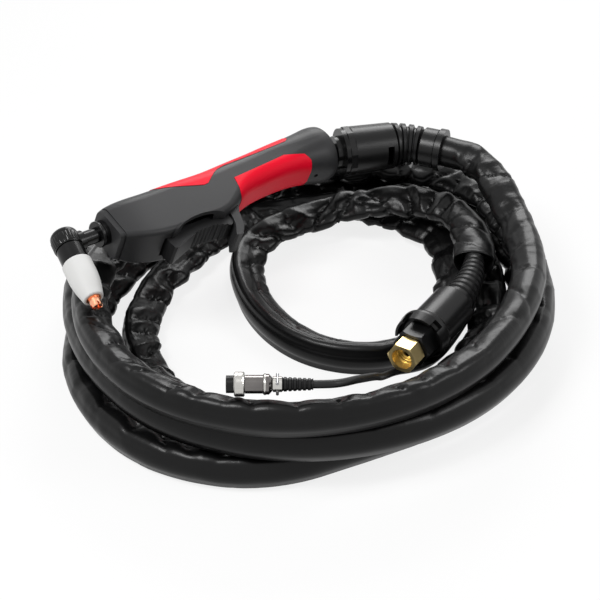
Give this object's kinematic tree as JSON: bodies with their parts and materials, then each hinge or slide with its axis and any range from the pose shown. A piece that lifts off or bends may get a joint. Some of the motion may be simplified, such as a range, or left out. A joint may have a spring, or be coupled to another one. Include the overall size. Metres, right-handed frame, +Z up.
{
  "type": "hand plasma cutting torch with coiled lead",
  "caption": "Hand plasma cutting torch on a ball swivel, with a sheathed lead wound into a coil, a gas and power coupling and a small control plug.",
  "frame": {"origin": "Middle of the coil, on the surface that the coil lies on.", "axes": "+X to the right along the torch and its support, +Y away from the viewer, +Z up."},
  "size_m": [0.3389, 0.4016, 0.1079],
  "materials": {
    "sheath": "satin",
    "cable_jacket": "satin",
    "soft_rubber": "matte",
    "red_grip": "satin",
    "handle_plastic": "satin",
    "gloss_moulding": "gloss",
    "black_moulding": "satin",
    "trigger_plastic": "satin",
    "ceramic": "matte",
    "copper": "satin",
    "brass": "satin",
    "nickel": "polished",
    "dark_nickel": "polished",
    "gold_pins": "polished",
    "screw_steel": "satin",
    "liner_plastic": "satin",
    "amber_resin": "satin"
  },
  "bodies": {
    "lead": {"lead_coil": "sheath", "control_cable": "cable_jacket", "plug_insert": "black_moulding", "plug_shell": "dark_nickel", "plug_contacts": "gold_pins", "plug_clamp": "nickel", "clamp_screws": "screw_steel", "plug_boot": "soft_rubber", "gas_nipple": "brass", "hex_insulator": "gloss_moulding", "lobed_collar": "black_moulding", "machine_boot": "soft_rubber", "swivel_ball": "gloss_moulding", "lock_ring": "black_moulding", "support_sleeve": "black_moulding", "support_bend": "soft_rubber", "support_end_ring": "black_moulding"},
    "union_nut": {"union_nut": "brass"},
    "plug_ring": {"plug_ring": "nickel"},
    "swing": {"swing_liner": "liner_plastic"},
    "lift": {"lift_liner": "liner_plastic"},
    "torch": {"handle_right": "handle_plastic", "handle_left": "handle_plastic", "grip_insert_top": "red_grip", "grip_insert_lower": "red_grip", "handle_screws": "screw_steel", "trigger_pin": "screw_steel", "microswitch": "black_moulding", "head_body": "gloss_moulding", "neck_tube": "gloss_moulding", "neck_collar": "black_moulding", "gas_tube": "copper", "cathode_body": "brass", "electrode": "copper", "swirl_ring": "amber_resin"},
    "trigger": {"trigger": "trigger_plastic"},
    "plunger": {"switch_plunger": "liner_plastic"},
    "nozzle": {"nozzle_tip": "copper"},
    "cup": {"shield_cup": "ceramic", "cup_thread": "brass"}
  },
  "joints": [
    {"name": "nut_turn", "type": "hinge", "parent": "lead", "child": "union_nut", "pos_m": [0.0656, -0.0849, 0.0412], "axis": [0.5336, 0.8457, 0.0105], "continuous": true},
    {"name": "ring_turn", "type": "hinge", "parent": "lead", "child": "plug_ring", "pos_m": [-0.0434, -0.1585, 0.0772], "axis": [1, 0, 0], "continuous": true},
    {"name": "torch_swing", "type": "hinge", "parent": "lead", "child": "swing", "pos_m": [0.00925, 0.12388, 0.07732], "axis": [0.0499, -0.0516, 0.9974], "range_deg": [-53, 0]},
    {"name": "torch_lift", "type": "hinge", "parent": "swing", "child": "lift", "pos_m": [0.00925, 0.12388, 0.07732], "axis": [-0.6947, 0.7193, 0], "range_deg": [0, 15]},
    {"name": "torch_twist", "type": "hinge", "parent": "lift", "child": "torch", "pos_m": [0.00925, 0.12388, 0.07732], "axis": [-0.7172, -0.6926, 0.0767], "range_deg": [0, 45]},
    {"name": "trigger_pull", "type": "hinge", "parent": "torch", "child": "trigger", "pos_m": [-0.09257, -0.0027, 0.08128], "axis": [0.3168, -0.226, 0.9212], "range_deg": [0, 5], "stiffness_Nm_per_rad": 0.5, "springref_deg": -4.01},
    {"name": "plunger_press", "type": "slide", "parent": "torch", "child": "plunger", "axis": [-0.6207, 0.685, 0.3816], "range_m": [0, 0.0021]},
    {"name": "cup_travel", "type": "slide", "parent": "torch", "child": "nozzle", "axis": [0.4376, -0.8268, -0.3534], "range_m": [0, 0.0045]},
    {"name": "cup_turn", "type": "hinge", "parent": "nozzle", "child": "cup", "pos_m": [-0.15205, -0.03189, 0.09458], "axis": [0.4376, -0.8268, -0.3534], "range_deg": [0, 1080]}
  ],
  "couplings": [
    {"joint": "plunger_press", "follows": "trigger_pull", "m_per_rad": 0.023},
    {"joint": "cup_turn", "follows": "cup_travel", "rad_per_m": 4188.8}
  ]
}
